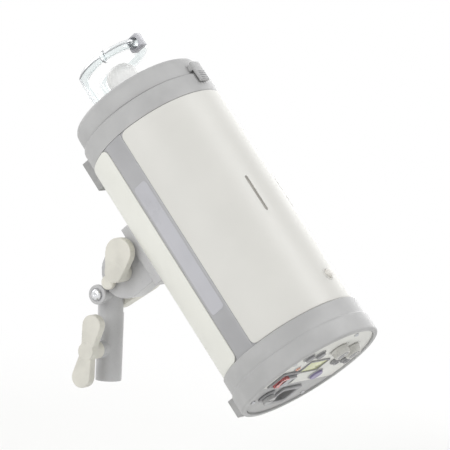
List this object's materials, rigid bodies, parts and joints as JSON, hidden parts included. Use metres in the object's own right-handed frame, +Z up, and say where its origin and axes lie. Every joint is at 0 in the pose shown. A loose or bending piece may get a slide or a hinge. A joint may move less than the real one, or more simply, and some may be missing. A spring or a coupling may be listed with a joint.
{
  "type": "monolight studio strobe",
  "caption": "Cylindrical studio flash head with modelling lamp, ring flash tube, rear controls and a tilting stand bracket with umbrella bore.",
  "frame": {"origin": "centre of the stand socket's mouth, where the stand's stud enters", "axes": "+Z up along the socket, +Y the horizontal direction the head aims, +X the strobe's right side; at rest the head is tilted 50 degrees up"},
  "size_m": [0.1284, 0.2697, 0.3056],
  "materials": {
    "collar_grey": "moulded, fine grain",
    "shell_grey": "satin paint",
    "lower_cream": "satin paint",
    "band_grey": "half gloss, bare of print",
    "knob_putty": "moulded",
    "rubber": "matte",
    "panel_grey": "printed panel left bare",
    "cast_grey": "powder coat on a casting",
    "steel": "plated",
    "chrome": "bright",
    "aluminium": "satin",
    "glass": "clear and frosted glass",
    "ceramic": "ceramic, bisque",
    "lcd": "blank display",
    "lens_red": "tinted",
    "lens_amber": "tinted",
    "button_violet": "moulded",
    "board_green": "circuit board",
    "can_blue": "sleeved can",
    "copper": "lacquered copper winding",
    "fibre": "pressed fibre"
  },
  "bodies": {
    "stand_bracket": {"stand_socket": "cast_grey", "tilt_cheek": "knob_putty", "cross_bolt": "chrome", "cross_nut": "steel", "tilt_bolt": "steel", "friction_disc": "fibre"},
    "stand_clamp": {"clamp_wing": "knob_putty", "clamp_screw": "steel"},
    "tilt_lock": {"tilt_lever": "knob_putty"},
    "umbrella_lock": {"umbrella_screw": "knob_putty"},
    "accessory_lock": {"lock_ring": "collar_grey"},
    "power_dial": {"power_dial": "knob_putty"},
    "model_dial": {"model_dial": "knob_putty"},
    "power_rocker": {"power_rocker": "lens_red"},
    "test_button": {"test_button": "button_violet"},
    "mode_button_left": {"mode_button_left": "collar_grey"},
    "mode_button_right": {"mode_button_right": "collar_grey"},
    "head": {"front_collar": "collar_grey", "tube_clip": "collar_grey", "rear_collar": "collar_grey", "connector_panel": "collar_grey", "sync_jack": "collar_grey", "remote_jack": "collar_grey", "top_cover": "shell_grey", "bottom_cover": "lower_cream", "left_trim": "band_grey", "right_trim": "band_grey", "rocker_frame": "band_grey", "mains_inlet": "band_grey", "fuse_holder": "band_grey", "fuse_cap": "band_grey", "front_foot": "rubber", "rear_foot": "rubber", "control_panel": "panel_grey", "mount_shoe": "cast_grey", "shoe_bolt_front": "steel", "shoe_bolt_rear": "steel", "lamp_base": "steel", "trigger_wire": "steel", "reflector": "aluminium", "chassis_plate": "aluminium", "spacer_front": "aluminium", "spacer_rear": "aluminium", "capacitor_clamp": "aluminium", "heat_sink": "aluminium", "modelling_lamp": "glass", "flash_tube": "glass", "lamp_socket": "ceramic", "tube_socket_left": "ceramic", "tube_socket_right": "ceramic", "lcd_window": "lcd", "slave_sensor": "lens_red", "ready_lamp": "lens_amber", "main_board": "board_green", "control_board": "board_green", "capacitor_left": "can_blue", "capacitor_right": "can_blue", "transformer": "copper", "trigger_coil": "copper", "ring_washer": "fibre"}
  },
  "joints": [
    {"name": "head_tilt", "type": "hinge", "parent": "stand_bracket", "child": "head", "pos_m": [0, -0.023, 0.095], "axis": [1, 0, 0], "range_deg": [-80, 40]},
    {"name": "tilt_lever_turn", "type": "hinge", "parent": "head", "child": "tilt_lock", "pos_m": [-0.0183, -0.023, 0.095], "axis": [1, 0, 0], "range_deg": [-60, 30]},
    {"name": "stand_clamp_turn", "type": "hinge", "parent": "stand_bracket", "child": "stand_clamp", "pos_m": [-0.0183, 0, 0.0275], "axis": [1, 0, 0], "range_deg": [-270, 0]},
    {"name": "umbrella_screw_turn", "type": "hinge", "parent": "head", "child": "umbrella_lock", "pos_m": [-0.0186, -0.01151, 0.08536], "axis": [1, 0, 0], "range_deg": [-270, 0]},
    {"name": "accessory_ring_turn", "type": "hinge", "parent": "head", "child": "accessory_lock", "pos_m": [0, -0.08965, 0.15092], "axis": [0, 0.6428, 0.766], "range_deg": [0, 15]},
    {"name": "power_dial_turn", "type": "hinge", "parent": "head", "child": "power_dial", "pos_m": [0, -0.21841, 0.04958], "axis": [0, 0.6428, 0.766], "range_deg": [-150, 150]},
    {"name": "model_dial_turn", "type": "hinge", "parent": "head", "child": "model_dial", "pos_m": [0.0225, -0.2165, 0.04798], "axis": [0, 0.6428, 0.766], "range_deg": [-150, 150]},
    {"name": "power_rocker_tip", "type": "hinge", "parent": "head", "child": "power_rocker", "pos_m": [-0.0375, -0.19122, 0.02442], "axis": [1, 0, 0], "range_deg": [-7, 7]},
    {"name": "test_button_press", "type": "slide", "parent": "head", "child": "test_button", "axis": [0, 0.6428, 0.766], "range_m": [0, 0.0012], "stiffness_N_per_m": 400},
    {"name": "mode_button_left_press", "type": "slide", "parent": "head", "child": "mode_button_left", "axis": [0, 0.6428, 0.766], "range_m": [0, 0.0012], "stiffness_N_per_m": 400},
    {"name": "mode_button_right_press", "type": "slide", "parent": "head", "child": "mode_button_right", "axis": [0, 0.6428, 0.766], "range_m": [0, 0.0012], "stiffness_N_per_m": 400}
  ]
}
